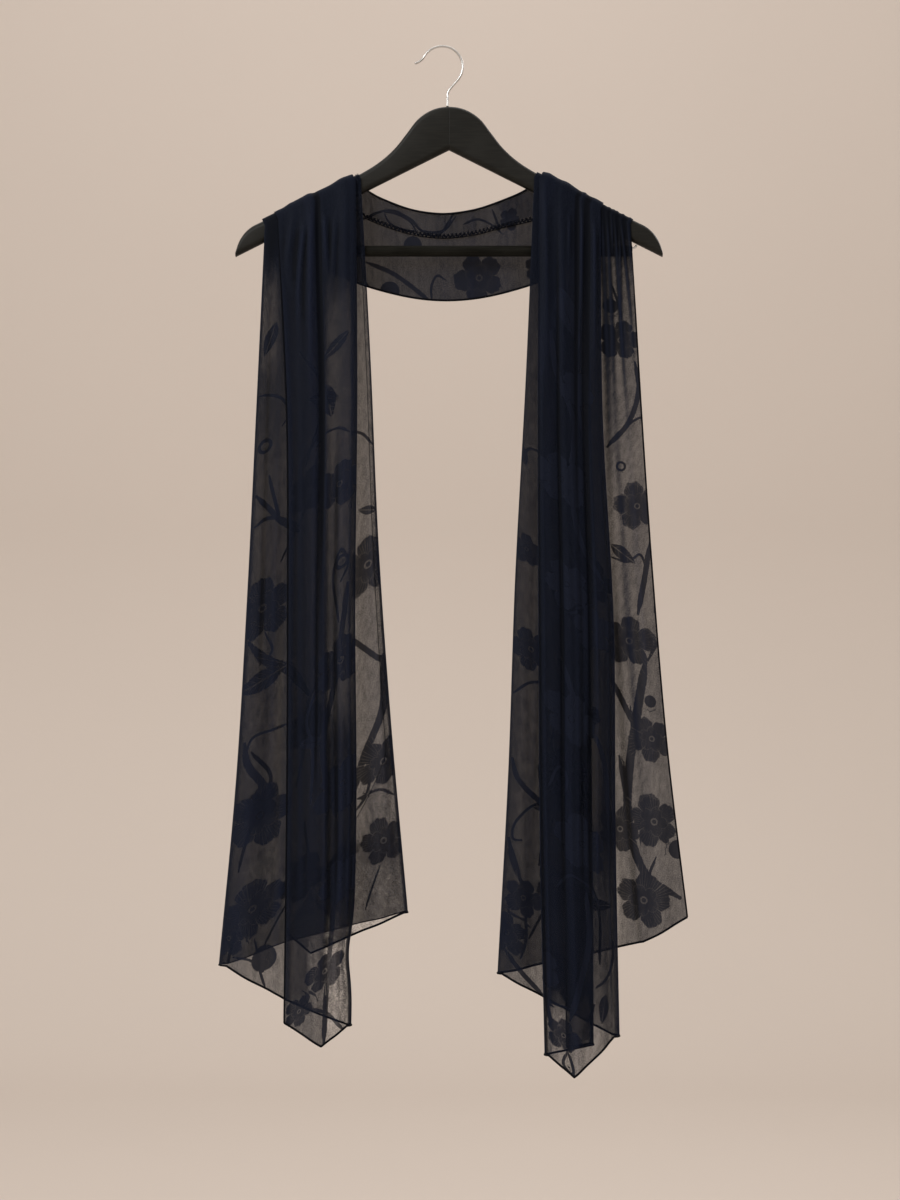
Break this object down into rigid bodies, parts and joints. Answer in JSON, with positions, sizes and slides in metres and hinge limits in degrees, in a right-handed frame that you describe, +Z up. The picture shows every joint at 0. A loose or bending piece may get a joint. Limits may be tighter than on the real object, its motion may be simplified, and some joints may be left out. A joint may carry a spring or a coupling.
{
  "type": "chiffon scarf on a clothes hanger",
  "caption": "Long sheer dark scarf with a blossom pattern, hung over the arms of a wooden clothes hanger with a steel hook and a trouser bar.",
  "frame": {"origin": "the inside of the top of the hook's bend, where the hanger hangs on its rail", "axes": "+Z up, +Y away from the viewer through the hanger's back, +X to the viewer's right along the hanger"},
  "size_m": [0.4904, 0.0637, 1.0777],
  "materials": {
    "cloth": "sheer navy weave with a darker, closer-woven blossom pattern",
    "wood": "black satin lacquer",
    "steel": "bright steel wire"
  },
  "bodies": {
    "root": {"scarf_left_drop": "cloth", "scarf_right_drop": "cloth", "scarf_neck_stretch": "cloth", "scarf_neck_turned_edge": "cloth", "hanger_yoke": "wood", "hanger_bar": "wood", "hanger_bar_eye_left": "steel", "hanger_bar_eye_right": "steel", "hanger_hook": "steel"}
  },
  "joints": []
}
